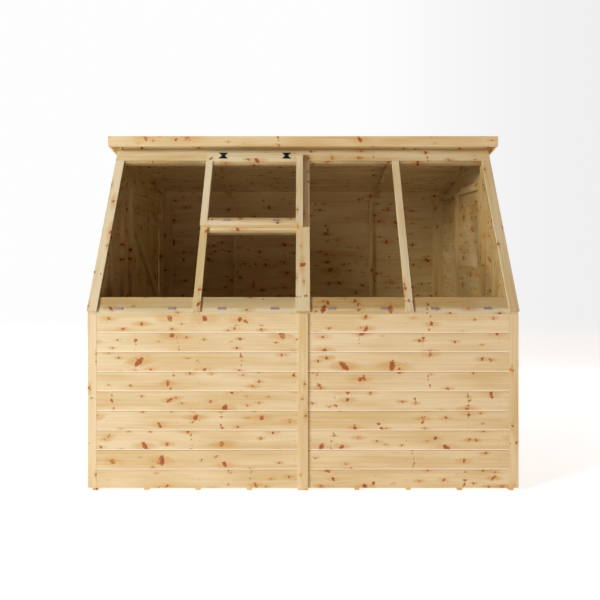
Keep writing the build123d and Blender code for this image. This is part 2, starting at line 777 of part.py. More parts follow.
VENT_MID_X = -VENT_LEFT_X / 2
with BuildPart() as vent_hinges:
    with BuildSketch(SLOPE.offset(VENT_OUT)):
        for x in (VENT_MID_X - VENT_HINGE_X, VENT_MID_X + VENT_HINGE_X):
            for side in (-1, 1):
                with BuildLine():
                    Polyline(
                        (x - VENT_HINGE_WAIST / 2, PIN_LINE_S),
                        (x + VENT_HINGE_WAIST / 2, PIN_LINE_S),
                        (x + VENT_HINGE_W / 2, PIN_LINE_S + side * VENT_HINGE_L / 2),
                        (x - VENT_HINGE_W / 2, PIN_LINE_S + side * VENT_HINGE_L / 2),
                        close=True,
                    )
                make_face()
    extrude(amount=VENT_HINGE_T)
    for x in (VENT_MID_X - VENT_HINGE_X, VENT_MID_X + VENT_HINGE_X):
        with BuildSketch(Plane.YZ.offset(x - VENT_HINGE_WAIST / 2)):
            with Locations(
                (
                    at(PIN_LINE_S * SIN_L - (VENT_OUT + VENT_PIN_R) * COS_L),
                    SILL_Z + PIN_LINE_S * COS_L + (VENT_OUT + VENT_PIN_R) * SIN_L,
                )
            ):
                Circle(VENT_PIN_R)
        extrude(amount=VENT_HINGE_WAIST)
finish(vent_hinges.part, "vent_hinges")

# Glazing clips: a small plate over the foot of each pane
PANE_MIDS = (
    -(BAY_X + HALF_W - SIDE_STRIP_W + SIDE_STRIP_LAP + BATTEN_W / 2) / 2,
    -BAY_X / 2 - MULLION_W / 8,
)
CLIP_XS = [mid + side * CLIP_X for mid in PANE_MIDS for side in (-1, 1)]
VENT_CLIP_S = REBATE_S0 + VENT_GLASS_CLEAR
CLIP_FOOT_S = GLASS_FOOT_S - CLIP_L + CLIP_LAP
VENT_GLASS_OUT = GLASS_BED + GLASS_T


def clip_plate(x, s0, s1, height, thickness):
    """Plate as wide as a clip, centred at x."""
    slope_box(x - CLIP_W / 2, x + CLIP_W / 2, s0, s1, height, thickness)


with BuildPart() as glazing_clips:
    for x in CLIP_XS + [-x for x in CLIP_XS]:
        clip_plate(x, CLIP_FOOT_S, GLASS_FOOT_S + CLIP_LAP, GLASS_T, CLIP_T)
        clip_plate(x, CLIP_FOOT_S, GLASS_FOOT_S - CLIP_GAP, 0, GLASS_T)
    for x in (VENT_MID_X - CLIP_X, VENT_MID_X + CLIP_X):
        clip_plate(x, VENT_CLIP_S - CLIP_L + CLIP_LAP, VENT_CLIP_S + CLIP_LAP, VENT_OUT, CLIP_T)
        clip_plate(x, VENT_CLIP_S, VENT_CLIP_S + CLIP_LAP, VENT_GLASS_OUT, VENT_OUT - VENT_GLASS_OUT)
finish(glazing_clips.part, "glazing_clips")

# Roof
ROOF_HALF = HALF_W + ROOF_SIDE_LAP - FASCIA_T - BOARD_T
BOARD_RISE = ROOF_BOARD_T / COS_R
FELT_RISE = FELT_T / COS_R
BOARDS_D = ROOF_FRONT_D + FASCIA_T
BOARDS_END_D = ROOF_BACK_D - FASCIA_T
PURLIN_D = BACK_FRAME_D - RAFTER_W

with BuildPart() as roof_header:
    side_plate(
        -WALL_IN_X,
        WALL_IN_X * 2,
        [
            (HEADER_D, HEAD_Z),
            (HEADER_BACK_D, HEAD_Z),
            (HEADER_BACK_D, roof_z(HEADER_BACK_D)),
            (HEADER_D, roof_z(HEADER_D)),
        ],
    )
finish(roof_header.part, "roof_header")

with BuildPart() as eaves_purlin:
    side_plate(
        -FRAME_IN_X,
        FRAME_IN_X * 2,
        [
            (PURLIN_D, EAVES_Z - PURLIN_H),
            (BACK_FRAME_D, EAVES_Z - PURLIN_H),
            (BACK_FRAME_D, EAVES_Z),
            (PURLIN_D, roof_z(PURLIN_D)),
        ],
    )
finish(eaves_purlin.part, "eaves_purlin")

RAFTER_RISE = RAFTER_H / COS_R
EDGE_END_D = BACK_FRAME_D - (PANEL_TOP + RAFTER_RISE - EAVES_Z) / TAN_R

with BuildPart() as roof_rafters:
    for x in (-RAFTER_X, RAFTER_X):
        side_plate(
            x - RAFTER_W / 2,
            RAFTER_W,
            [
                (HEADER_BACK_D, roof_z(HEADER_BACK_D) - RAFTER_RISE),
                (PURLIN_D, roof_z(PURLIN_D) - RAFTER_RISE),
                (PURLIN_D, roof_z(PURLIN_D)),
                (HEADER_BACK_D, roof_z(HEADER_BACK_D)),
            ],
        )
    for x in (-WALL_IN_X, FRAME_IN_X):
        side_plate(
            x,
            FRAME_T,
            [
                (HEADER_BACK_D, roof_z(HEADER_BACK_D) - RAFTER_RISE),
                (EDGE_END_D, PANEL_TOP),
                (BACK_BOARD_D, PANEL_TOP),
                (BACK_BOARD_D, BACK_TOP_IN),
                (HEADER_BACK_D, roof_z(HEADER_BACK_D)),
            ],
        )
finish(roof_rafters.part, "roof_rafters")

with BuildPart() as roof_boards:
    side_plate(
        -ROOF_HALF,
        ROOF_HALF * 2,
        [
            (BOARDS_D, roof_z(BOARDS_D)),
            (BOARDS_END_D, roof_z(BOARDS_END_D)),
            (BOARDS_END_D, roof_z(BOARDS_END_D) + BOARD_RISE),
            (BOARDS_D, roof_z(BOARDS_D) + BOARD_RISE),
        ],
    )
finish(roof_boards.part, "roof_boards")

with BuildPart() as roof_felt:
    side_plate(
        -ROOF_HALF,
        ROOF_HALF * 2,
        [
            (BOARDS_D, roof_z(BOARDS_D) + BOARD_RISE),
            (BOARDS_END_D, roof_z(BOARDS_END_D) + BOARD_RISE),
            (BOARDS_END_D, roof_z(BOARDS_END_D) + BOARD_RISE + FELT_RISE),
            (BOARDS_D, roof_z(BOARDS_D) + BOARD_RISE + FELT_RISE),
        ],
    )
finish(roof_felt.part, "roof_felt")

FASCIA_OUT_X = ROOF_HALF + BOARD_T
FASCIA_TOP = roof_z(BOARDS_D) + BOARD_RISE + FELT_RISE
BACK_FASCIA_TOP = roof_z(BOARDS_END_D) + BOARD_RISE + FELT_RISE

with BuildPart() as front_fascia:
    cross_box(-FASCIA_OUT_X, FASCIA_OUT_X, FASCIA_TOP - FASCIA_H, FASCIA_TOP, ROOF_FRONT_D, FASCIA_T)
finish(front_fascia.part, "front_fascia")

with BuildPart() as back_fascia:
    cross_box(
        -FASCIA_OUT_X,
        FASCIA_OUT_X,
        BACK_FASCIA_TOP - FASCIA_H,
        BACK_FASCIA_TOP,
        BOARDS_END_D,
        FASCIA_T,
    )
finish(back_fascia.part, "back_fascia")

with BuildPart() as bargeboards:
    for x in (-FASCIA_OUT_X, ROOF_HALF):
        side_plate(
            x,
            BOARD_T,
            [
                (BOARDS_D, FASCIA_TOP - FASCIA_H),
                (BOARDS_END_D, BACK_FASCIA_TOP - FASCIA_H),
                (BOARDS_END_D, BACK_FASCIA_TOP),
                (BOARDS_D, FASCIA_TOP),
            ],
        )
finish(bargeboards.part, "bargeboards")
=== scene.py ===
"""Looks of the potting shed: every board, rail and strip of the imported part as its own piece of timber,
with felt, glass and ironmongery, on a pale floor under soft studio light."""
import math
import random

import bmesh
import bpy
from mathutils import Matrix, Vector


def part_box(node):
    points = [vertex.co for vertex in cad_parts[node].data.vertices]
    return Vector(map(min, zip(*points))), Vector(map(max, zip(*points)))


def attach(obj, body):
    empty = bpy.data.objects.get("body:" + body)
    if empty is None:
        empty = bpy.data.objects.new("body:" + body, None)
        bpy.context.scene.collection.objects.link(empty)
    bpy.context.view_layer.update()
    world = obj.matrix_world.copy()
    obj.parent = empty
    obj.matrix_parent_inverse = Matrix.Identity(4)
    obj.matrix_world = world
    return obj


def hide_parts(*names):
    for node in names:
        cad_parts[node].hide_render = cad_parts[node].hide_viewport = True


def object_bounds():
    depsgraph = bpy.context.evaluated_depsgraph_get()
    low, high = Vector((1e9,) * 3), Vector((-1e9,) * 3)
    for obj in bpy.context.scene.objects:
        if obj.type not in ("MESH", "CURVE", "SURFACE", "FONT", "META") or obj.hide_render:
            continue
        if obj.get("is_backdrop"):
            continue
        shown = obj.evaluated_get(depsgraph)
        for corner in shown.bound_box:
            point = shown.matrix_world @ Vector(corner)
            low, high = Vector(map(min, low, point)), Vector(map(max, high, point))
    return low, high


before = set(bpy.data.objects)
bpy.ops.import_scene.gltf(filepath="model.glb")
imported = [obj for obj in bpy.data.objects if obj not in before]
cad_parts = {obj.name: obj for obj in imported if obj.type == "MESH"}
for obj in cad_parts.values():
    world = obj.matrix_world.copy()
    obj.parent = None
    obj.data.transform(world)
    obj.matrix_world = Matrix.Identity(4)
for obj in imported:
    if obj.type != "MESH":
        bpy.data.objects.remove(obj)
CAD_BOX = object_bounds()

X = Vector((1, 0, 0))
Y = Vector((0, 1, 0))
Z = Vector((0, 0, 1))

# Places that the frame gives
WALL_LO, WALL_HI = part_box("front_wall")
FRONT_Y = WALL_LO.y
SILL_Z = WALL_HI.z
BACK_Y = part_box("back_wall")[1].y
EAVES_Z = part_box("back_wall")[1].z
FRONT_PANEL_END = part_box("left_frame_front")[1].y
DOOR_LO, DOOR_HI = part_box("door_boards")

# Directions of the leaning window, the roof and the door's braces
LEAN = math.radians(29.25)
PITCH = math.radians(11.6)
UP_SLOPE = Vector((0, math.sin(LEAN), math.cos(LEAN)))
DOWN_ROOF = Vector((0, math.cos(PITCH), -math.sin(PITCH)))
OFF_ROOF = Vector((0, math.sin(PITCH), math.cos(PITCH)))
BRACE_WAY = Vector((0, -1, 1.2)).normalized()

# Timber sizes, in metres
BOARD_PITCH = 0.1097
FIRST_JOINT = 0.120
JOINT_LAP = 0.008
JOINT_GAP = 0.0014
JOINT_CHAMFER = 0.008
CHAMFER_LEAN = math.radians(16)
LEAST_BOARD = 0.012
BOARD_ARRIS = 0.0007
PLANK_GAP = 0.0008
FLOOR_PLANK_W = 0.095
ROOF_PLANK_W = 0.1
DOOR_PLANK_W = 0.0994
ARRIS = 0.0012
STUD_W = 0.045
BACK_STUD_W = 0.030
BACK_STUD_X = 0.58
HALF_PANEL_GAP = 0.001
FRONT_PANEL_STUD = 0.292
REAR_PANEL_STUD = 0.622
DOOR_CLEAR = 0.006
STOP_W = 0.011

# Leaning window and vent, in metres
INNER_STILE_W = 0.040
SIDE_STILE_W = 0.050
MUNTIN = (0.580, 0.620)
VENT_STILE_W = 0.043

# Felt, nails and screws, in metres; the shares are of the roof's slope and of a strap
FELT_LAP = 0.06
FELT_STEP = 0.0021
FELT_JOINT_SHARES = (0.34, 0.68)
FELT_ARRIS = 0.0004
CLOUT_SPACING = 0.075
CLOUT_INSET = 0.02
VERGE_START = 0.08
LAP_CLEAR = 0.01
CLOUT_RADIUS = 0.0045
CLOUT_HEIGHT = 0.0012
NAIL_RADIUS = 0.0021
NAIL_HEIGHT = 0.0003
NAIL_INSET = 0.02
NAIL_UNDER_SLOPE = 0.04
NAIL_UNDER_ROOF = 0.03
NAIL_LINES = (0.045, BACK_STUD_X, 1.1)
STRAP_T = 0.003
SCREW_RADIUS = 0.0042
SCREW_HEIGHT = 0.0012
SCREW_DIMPLE = 0.0008
SCREW_SHARES = (0.08, 0.32, 0.56, 0.80)
SUNK = 0.0004

# Angles between faces, in radians, for cleaning and for bevels
FLAT = 0.002
SHARP = 0.3


class Graph:
    """A node material under construction."""

    def __init__(self, name):
        self.material = bpy.data.materials.new(name)
        self.material.use_nodes = True
        self.tree = self.material.node_tree
        self.tree.nodes.clear()

    def put(self, socket, value):
        if isinstance(value, bpy.types.NodeSocket):
            self.tree.links.new(value, socket)
        else:
            socket.default_value = value

    def node(self, kind, values=None, **settings):
        made = self.tree.nodes.new(kind)
        for key, value in settings.items():
            setattr(made, key, value)
        for key, value in (values or {}).items():
            self.put(made.inputs[key], value)
        return made

    def attribute(self, name):
        return self.node("ShaderNodeAttribute", attribute_name=name)

    def math(self, operation, *values, clamp=False):
        made = self.node("ShaderNodeMath", dict(enumerate(values)), operation=operation, use_clamp=clamp)
        return made.outputs[0]

    def vector(self, operation, a, b=None, scale=None):
        values = {0: a}
        if b is not None:
            values[1] = b
        if scale is not None:
            values["Scale"] = scale
        made = self.node("ShaderNodeVectorMath", values, operation=operation)
        return made.outputs["Value" if operation in ("LENGTH", "DOT_PRODUCT") else "Vector"]

    def split(self, vector):
        return self.node("ShaderNodeSeparateXYZ", {0: vector}).outputs

    def join(self, x, y, z=0.0):
        return self.node("ShaderNodeCombineXYZ", {0: x, 1: y, 2: z}).outputs[0]

    def noise(self, vector, scale=1.0, detail=2.0, roughness=0.5):
        values = {"Vector": vector, "Scale": scale, "Detail": detail, "Roughness": roughness}
        return self.node("ShaderNodeTexNoise", values)

    def step(self, value, low, high, out_low=0.0, out_high=1.0):
        """Smooth rise from out_low to out_high as value goes from low to high."""
        values = {"Value": value, "From Min": low, "From Max": high, "To Min": out_low, "To Max": out_high}
        return self.node("ShaderNodeMapRange", values, interpolation_type="SMOOTHSTEP").outputs[0]

    def mix(self, factor, a, b, blend="MIX"):
        made = self.node("ShaderNodeMix", data_type="RGBA", blend_type=blend)
        self.put(made.inputs[0], factor)
        for socket, value in ((made.inputs[6], a), (made.inputs[7], b)):
            self.put(socket, value if isinstance(value, bpy.types.NodeSocket) else (*value, 1.0))
        return made.outputs[2]

    def bump(self, height, strength, distance):
        values = {"Height": height, "Strength": strength, "Distance": distance}
        return self.node("ShaderNodeBump", values).outputs[0]

    def surface(self, shader):
        self.node("ShaderNodeOutputMaterial", {"Surface": shader})
        return self.material

    def principled(self, **values):
        named = {key.replace("_", " ").title().replace("Ior", "IOR"): value for key, value in values.items()}
        for key, value in named.items():
            if isinstance(value, tuple) and len(value) == 3 and "Color" in key:
                named[key] = (*value, 1.0)
        return self.surface(self.node("ShaderNodeBsdfPrincipled", named).outputs[0])


def knot_field(g, place, cell, radii, share, seed):
    """Round and oval knots scattered over a board, at most one to a cell.

    Gives how much of a knot each point is, how near one it is, and the pull on the grain beside it."""
    cell_u, cell_v = cell
    small, large = radii
    here = g.vector("ADD", g.vector("MULTIPLY", place, (1 / cell_u, 1 / cell_v, 0)), (seed, seed * 0.37, 0))
    settings = {"Vector": here, "Scale": 1.0, "Randomness": 0.85}
    cells = g.node("ShaderNodeTexVoronoi", settings, voronoi_dimensions="2D")
    offset = g.vector("MULTIPLY", g.vector("SUBTRACT", here, cells.outputs["Position"]), (cell_u, cell_v, 0))
    turn, size, chance = g.split(cells.outputs["Color"])
    angle = g.math("MULTIPLY_ADD", turn, 2.4, -1.2)
    rotation = {"Vector": offset, "Angle": angle}
    turned = g.node("ShaderNodeVectorRotate", rotation, rotation_type="Z_AXIS").outputs[0]
    slim = g.math("MULTIPLY_ADD", g.math("FRACT", g.math("MULTIPLY", turn, 7.3)), 1.6, 0.8)
    along, across, _ = g.split(turned)
    shape = g.vector("LENGTH", g.join(along, g.math("DIVIDE", across, slim)))
    radius = g.math("MULTIPLY_ADD", g.math("POWER", size, 2.0), large - small, small)
    absent = g.math("MULTIPLY", g.math("GREATER_THAN", chance, share), 50.0)
    distance = g.math("ADD", g.math("DIVIDE", shape, radius), absent)
    strength = g.step(g.math("FRACT", g.math("MULTIPLY", chance, 23.0)), 0.0, 0.6, 0.5, 1.0)
    core = g.math("MULTIPLY", g.step(distance, 1.25, 0.65), strength)
    off_u, off_v, _ = g.split(offset)
    long_way = g.vector("LENGTH", g.join(g.math("MULTIPLY", off_u, 0.3), off_v))
    near = g.math("ADD", g.math("DIVIDE", long_way, radius), absent)
    return core, near, g.math("MULTIPLY", off_v, g.step(distance, 3.4, 0.4))


def knot_chain(g, place, pitch, width, share, seed):
    """Lines of small knots across the board, where a whorl of twigs was sawn through."""
    u, v, _ = g.split(place)
    slow = g.join(g.math("MULTIPLY", u, 3.0), g.math("MULTIPLY", v, 16.0), seed)
    sway = g.noise(slow, detail=0.0).outputs["Fac"]
    where = g.math("MULTIPLY_ADD", u, 1 / pitch, g.math("MULTIPLY_ADD", sway, 0.06 / pitch, seed))
    settings = {"W": where, "Scale": 1.0, "Randomness": 0.9}
    columns = g.node("ShaderNodeTexVoronoi", settings, voronoi_dimensions="1D")
    away = g.math("ABSOLUTE", g.math("MULTIPLY", g.math("SUBTRACT", where, columns.outputs["W"]), pitch))
    turn, chance, _ = g.split(columns.outputs["Color"])
    down = g.join(g.math("MULTIPLY", turn, 90.0), g.math("MULTIPLY", v, 62.0), seed)
    beads = g.noise(down, detail=1.0).outputs["Fac"]
    radius = g.math("MULTIPLY", g.step(beads, 0.5, 0.72), width)
    core = g.step(g.math("SUBTRACT", radius, away), -0.0008, 0.0022)
    present = g.math("LESS_THAN", chance, share)
    return g.math("MULTIPLY", core, present)


def pine(name, pale, honey, share=0.55, roughness=0.5, bump=0.35, underside_highlight=None):
    """Planed softwood with grain along each board, honey patches and red-brown knots.

    The last argument, if given, is a painted highlight: a paler colour put on faces that lean down a little,
    such as the chamfered lower edges of the boards, standing in for light thrown up from the floor."""
    g = Graph(name)
    grain = g.attribute("grain").outputs["Vector"]
    tone = g.attribute("tone").outputs["Fac"]
    ragged = g.noise(g.vector("MULTIPLY", grain, (95, 125, 95)), detail=2.5, roughness=0.65).outputs["Color"]
    ragged = g.vector("SCALE", g.vector("SUBTRACT", ragged, (0.5, 0.5, 0.5)), scale=0.030)
    place = g.vector("ADD", grain, ragged)
    big, big_near, big_pull = knot_field(g, place, (0.20, 0.10), (0.006, 0.0155), share, 3.1)
    mid, mid_near, mid_pull = knot_field(g, place, (0.12, 0.05), (0.0035, 0.0095), share * 0.6, 17.7)
    chain = knot_chain(g, place, 0.34, 0.0105, share * 0.8, 5.3)
    core = g.math("MAXIMUM", g.math("MAXIMUM", big, mid), g.math("MULTIPLY", chain, 0.8))
    blotch = g.noise(g.vector("MULTIPLY", grain, (230, 230, 230)), detail=1.5).outputs["Fac"]
    core = g.math("MULTIPLY", core, g.step(blotch, 0.33, 0.5, 0.42, 1.0))
    near = g.math("MINIMUM", big_near, mid_near)

    u, v, w = g.split(grain)
    long_waves = g.join(g.math("MULTIPLY", u, 1.1), g.math("MULTIPLY", v, 9.0), w)
    wander = g.noise(long_waves, detail=1.0).outputs["Fac"]
    flow = g.math("SUBTRACT", v, g.math("MULTIPLY", g.math("ADD", big_pull, mid_pull), 0.75))
    flow = g.math("MULTIPLY_ADD", wander, 0.035, flow)

    def along_grain(stretch, fineness, detail):
        fine_v, fine_w = (g.math("MULTIPLY", part, fineness) for part in (flow, w))
        return g.noise(g.join(g.math("MULTIPLY", u, stretch), fine_v, fine_w), detail=detail).outputs["Fac"]

    fine = along_grain(5.0, 420.0, 3.0)
    rings = along_grain(1.2, 80.0, 2.0)
    streaks = along_grain(1.6, 150.0, 1.0)
    patch = g.noise(g.vector("MULTIPLY", grain, (2.1, 11.0, 11.0)), detail=2.0).outputs["Fac"]
    warmth = g.math("ADD", g.step(patch, 0.32, 0.72, 0.0, 0.62), g.step(rings, 0.3, 0.72, 0.0, 0.34))
    warmth = g.math("ADD", warmth, g.math("MULTIPLY_ADD", fine, 0.25, -0.17))
    warmth = g.math("MULTIPLY_ADD", tone, 0.55, g.math("SUBTRACT", warmth, 0.27), clamp=True)
    colour = g.mix(warmth, pale, honey)
    thin = g.math("MULTIPLY", g.step(streaks, 0.6, 0.72), g.step(patch, 0.35, 0.6))
    colour = g.mix(g.math("MULTIPLY", thin, 0.35), colour, scaled(honey, (0.93, 0.78, 0.6)))

    halo = g.math("MULTIPLY", g.step(near, 2.6, 0.7), g.step(rings, 0.25, 0.65, 0.35, 0.8))
    colour = g.mix(halo, colour, scaled(honey, (0.97, 0.82, 0.66)))
    speck = g.noise(g.vector("MULTIPLY", grain, (170, 170, 170)), detail=1.0).outputs["Fac"]
    heart = g.mix(g.step(speck, 0.35, 0.6), (0.45, 0.145, 0.045), (0.31, 0.06, 0.02))
    heart = g.mix(g.step(speck, 0.53, 0.66), heart, (0.15, 0.032, 0.014))
    colour = g.mix(g.math("MULTIPLY", g.step(core, 0.0, 0.45), 0.8), colour, (0.60, 0.30, 0.10))
    colour = g.mix(g.step(core, 0.25, 0.8), colour, heart)
    # Painted highlight: faces leaning down are mixed towards a paler colour, standing in for light off the
    # floor.
    if underside_highlight:
        facing = g.split(g.node("ShaderNodeNewGeometry").outputs["Normal"])[2]
        edge = g.math("MULTIPLY", g.step(facing, -0.15, -0.24), g.step(facing, -0.95, -0.85))
        colour = g.mix(g.math("MULTIPLY", edge, 0.85), colour, underside_highlight)

    height = g.math("MULTIPLY_ADD", rings, 0.6, g.math("MULTIPLY", fine, 0.4))
    height = g.math("MULTIPLY_ADD", core, 0.4, height)
    rough = g.math("MULTIPLY_ADD", rings, 0.12, roughness - 0.06)
    return g.principled(
        base_color=colour, roughness=rough, specular_ior_level=0.4, normal=g.bump(height, bump, 0.0005)
    )


def scaled(colour, factors):
    return tuple(c * f for c, f in zip(colour, factors))


PALE = (0.77, 0.695, 0.465)
HONEY = (0.63, 0.485, 0.225)
# Colour of the painted highlight on the boards' down-leaning chamfers, standing in for light off the floor.
UNDERSIDE_HIGHLIGHT = (0.97, 0.90, 0.77)
CLADDING = pine("pine_cladding", PALE, HONEY, underside_highlight=UNDERSIDE_HIGHLIGHT)
TRIM = pine("pine_trim", PALE, HONEY, share=0.45)
FRAMING = pine("pine_framing", PALE, HONEY, share=0.45)
FLOORING = pine("pine_flooring", PALE, HONEY)


def glass():
    """Clear pane that dims and warms the lamp's light a little, with a faint shine."""
    g = Graph("pane_glass")
    clear = g.node("ShaderNodeBsdfTransparent", {"Color": (0.985, 0.97, 0.94, 1.0)}).outputs[0]
    dimmed = g.node("ShaderNodeBsdfTransparent", {"Color": (0.80, 0.72, 0.60, 1.0)}).outputs[0]
    lamp = g.node("ShaderNodeLightPath").outputs["Is Shadow Ray"]
    clear = g.node("ShaderNodeMixShader", {0: lamp, 1: clear, 2: dimmed}).outputs[0]
    shine = g.node("ShaderNodeBsdfGlossy", {"Color": (1.0, 1.0, 1.0, 1.0), "Roughness": 0.03}).outputs[0]
    edge = g.node("ShaderNodeFresnel", {"IOR": 1.055}).outputs[0]
    return g.surface(g.node("ShaderNodeMixShader", {0: edge, 1: clear, 2: shine}).outputs[0])


def metal(name, colour, roughness, metallic):
    """Metal with a fine grit and a slightly uneven gloss."""
    g = Graph(name)
    where = g.node("ShaderNodeTexCoord").outputs["Object"]
    grit = g.noise(where, scale=900.0, detail=3.0).outputs["Fac"]
    smears = g.noise(where, scale=60.0, detail=3.0).outputs["Fac"]
    rough = g.step(smears, 0.3, 0.7, roughness - 0.08, roughness + 0.1)
    shade = g.mix(g.step(grit, 0.35, 0.75), tuple(c * 0.85 for c in colour), colour)
    bump = g.bump(grit, 0.15, 0.0003)
    return g.principled(base_color=shade, roughness=rough, metallic=metallic, normal=bump)


def felt():
    """Roofing felt faced with grey-green mineral chips."""
    g = Graph("mineral_felt")
    where = g.node("ShaderNodeTexCoord").outputs["Object"]
    chips = g.node("ShaderNodeTexVoronoi", {"Vector": where, "Scale": 620.0}).outputs
    cloud = g.noise(where, scale=3.0, detail=4.0).outputs["Fac"]
    shade = g.mix(g.split(chips["Color"])[0], (0.035, 0.042, 0.038), (0.12, 0.135, 0.125))
    shade = g.mix(g.step(cloud, 0.4, 0.65, 0.0, 0.35), shade, (0.16, 0.17, 0.155))
    return g.principled(base_color=shade, roughness=0.93, normal=g.bump(chips["Distance"], 0.6, 0.0012))


GLASS = glass()
BLACK = metal("black_japanned_metal", (0.018, 0.022, 0.03), 0.42, 0.6)
NAIL = metal("dull_nail", (0.20, 0.17, 0.14), 0.5, 0.8)
CLIP = metal("zinc_clip", (0.50, 0.38, 0.42), 0.45, 0.35)
FELT = felt()


def loose_parts(bm):
    """Each connected part of a mesh, as (points, faces)."""
    left = set(bm.verts)
    while left:
        group, edge = set(), [min(left, key=lambda v: tuple(v.co))]
        while edge:
            v = edge.pop()
            if v not in group:
                group.add(v)
                edge.extend(e.other_vert(v) for e in v.link_edges)
        left -= group
        ordered = sorted(group, key=lambda v: tuple(v.co))
        order = {v: i for i, v in enumerate(ordered)}
        faces = [[order[v] for v in f.verts] for f in bm.faces if f.verts[0] in group]
        yield [v.co.copy() for v in ordered], faces


def solids(node):
    """The separate solids of a CAD node, each as (points, faces) with flat faces whole."""
    bm = bmesh.new()
    bm.from_mesh(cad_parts[node].data)
    bmesh.ops.remove_doubles(bm, verts=bm.verts, dist=1e-5)
    bmesh.ops.dissolve_limit(bm, angle_limit=FLAT, verts=bm.verts, edges=bm.edges)
    found = list(loose_parts(bm))
    bm.free()
    return sorted(found, key=lambda s: tuple(sum(s[0], Vector()) / len(s[0])))


def as_bmesh(solid):
    """A solid as an editable mesh with its faces outward."""
    points, faces = solid
    bm = bmesh.new()
    made = [bm.verts.new(p) for p in points]
    for f in faces:
        bm.faces.new([made[i] for i in f])
    bmesh.ops.recalc_face_normals(bm, faces=bm.faces)
    return bm


def span(solid, axis):
    """How far a solid reaches along an axis."""
    values = [p.dot(axis) for p in solid[0]]
    return min(values), max(values)


def clip(bm, point, normal):
    """Cuts away what is on the normal's side of a plane and closes the cut."""
    geometry = bm.verts[:] + bm.edges[:] + bm.faces[:]
    bmesh.ops.bisect_plane(bm, geom=geometry, dist=1e-5, plane_co=point, plane_no=normal, clear_outer=True)
    bm.normal_update()
    lying = [f for f in bm.faces if all(abs((v.co - point).dot(normal)) < 2e-5 for v in f.verts)]
    bmesh.ops.delete(bm, geom=[f for f in lying if f.normal.dot(normal) < 0], context="FACES")
    edges = [e for e in bm.edges if e.is_boundary]
    if edges:
        bmesh.ops.holes_fill(bm, edges=edges, sides=0)


def between(solid, *limits):
    """The part of a solid between pairs of planes, each given as (axis, low, high)."""
    bm = as_bmesh(solid)
    for axis, low, high in limits:
        if high is not None:
            clip(bm, axis * high, axis)
        if low is not None:
            clip(bm, axis * low, -axis)
    return bm


class Timber:
    """A piece made of many lengths of wood, each with its own grain."""

    def __init__(self, name, material, slot, nodes, body="shed"):
        self.name, self.material, self.slot, self.nodes, self.body = name, material, slot, nodes, body
        self.random = random.Random(name)
        self.points, self.faces, self.grain, self.tone = [], [], [], []

    def length(self, bm, along, across, arris=ARRIS, like=None):
        """Adds one length of wood. like gives it the grain of an earlier one, for a board in two layers."""
        bmesh.ops.dissolve_limit(bm, angle_limit=FLAT, verts=bm.verts, edges=bm.edges)
        if arris:
            sharp = [e for e in bm.edges if e.is_manifold and e.calc_face_angle(0) > SHARP]
            bmesh.ops.bevel(
                bm, geom=sharp, offset=arris, segments=1, affect="EDGES", clamp_overlap=True, profile=0.6
            )
        bmesh.ops.recalc_face_normals(bm, faces=bm.faces)
        if like is None:
            shift = Vector([self.random.uniform(0, 40) for _ in range(3)])
            like = (shift, min(1, max(0, self.random.gauss(0.5, 0.22))))
        shift, tone = like
        out = along.cross(across)
        base = len(self.points)
        bm.verts.ensure_lookup_table()
        for v in bm.verts:
            self.points.append(v.co.copy())
            place = Vector((v.co.dot(along), v.co.dot(across), v.co.dot(out)))
            self.grain.extend(place + shift)
            self.tone.append(tone)
        self.faces.extend([base + v.index for v in f.verts] for f in bm.faces)
        bm.free()
        return like

    def loose(self, bm, along, across):
        """Adds each separate part of a cut as its own length of wood."""
        for part in loose_parts(bm):
            self.length(as_bmesh(part), along, across)
        bm.free()

    def build(self):
        mesh = bpy.data.meshes.new(self.name)
        mesh.from_pydata(self.points, [], self.faces)
        mesh.validate()
        mesh.attributes.new("grain", "FLOAT_VECTOR", "POINT").data.foreach_set("vector", self.grain)
        mesh.attributes.new("tone", "FLOAT", "POINT").data.foreach_set("value", self.tone)
        mesh.materials.append(self.material)
        made = bpy.data.objects.new(self.name, mesh)
        bpy.context.scene.collection.objects.link(made)
        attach(made, self.body)
        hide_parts(*self.nodes)
        return made


def whole(name, node, along, across, material=TRIM, slot="trim_timber", body="shed", arris=ARRIS):
    """A piece whose every CAD solid is one length of wood."""
    piece = Timber(name, material, slot, [node], body)
    for solid in solids(node):
        piece.length(as_bmesh(solid), along, across, arris)
    piece.build()


def boarded(name, node, along, up, outward, body="shed", first=FIRST_JOINT, pitch=BOARD_PITCH):
    """A wall of lapped boards, in two layers so that no joint goes straight through."""
    piece = Timber(name, CLADDING, "cladding", [node], body)
    for solid in solids(node):
        low, high = span(solid, up)
        inner, outer = span(solid, outward)
        middle = (inner + outer) / 2
        joint = first - pitch
        while joint + JOINT_LAP < high:
            top = joint + pitch
            if top - low > LEAST_BOARD:
                front_low = max(low, joint + JOINT_GAP / 2)
                front = between(solid, (up, front_low, top - JOINT_GAP / 2), (outward, middle, None))
                if joint > low:
                    edge = up * (joint + JOINT_CHAMFER) + outward * outer
                    clip(front, edge, outward * math.cos(CHAMFER_LEAN) - up * math.sin(CHAMFER_LEAN))
                like = piece.length(front, along, up, BOARD_ARRIS)
                back_low = max(low, joint + JOINT_LAP)
                back_high = top + JOINT_LAP - JOINT_GAP
                back = between(solid, (up, back_low, back_high), (outward, None, middle))
                if back.faces:
                    piece.length(back, along, up, BOARD_ARRIS, like=like)
            joint = top
    piece.build()


def row_of_boards(name, node, along, across, slot, material, board_w):
    """Boards of about one width side by side in one layer, filling each solid of a node."""
    piece = Timber(name, material, slot, [node])
    for solid in solids(node):
        low, high = span(solid, across)
        count = max(1, round((high - low) / board_w))
        width = (high - low) / count
        for i in range(count):
            start = low + i * width
            limits = (across, start + PLANK_GAP / 2, start + width - PLANK_GAP / 2)
            piece.length(between(solid, limits), along, across)
    piece.build()


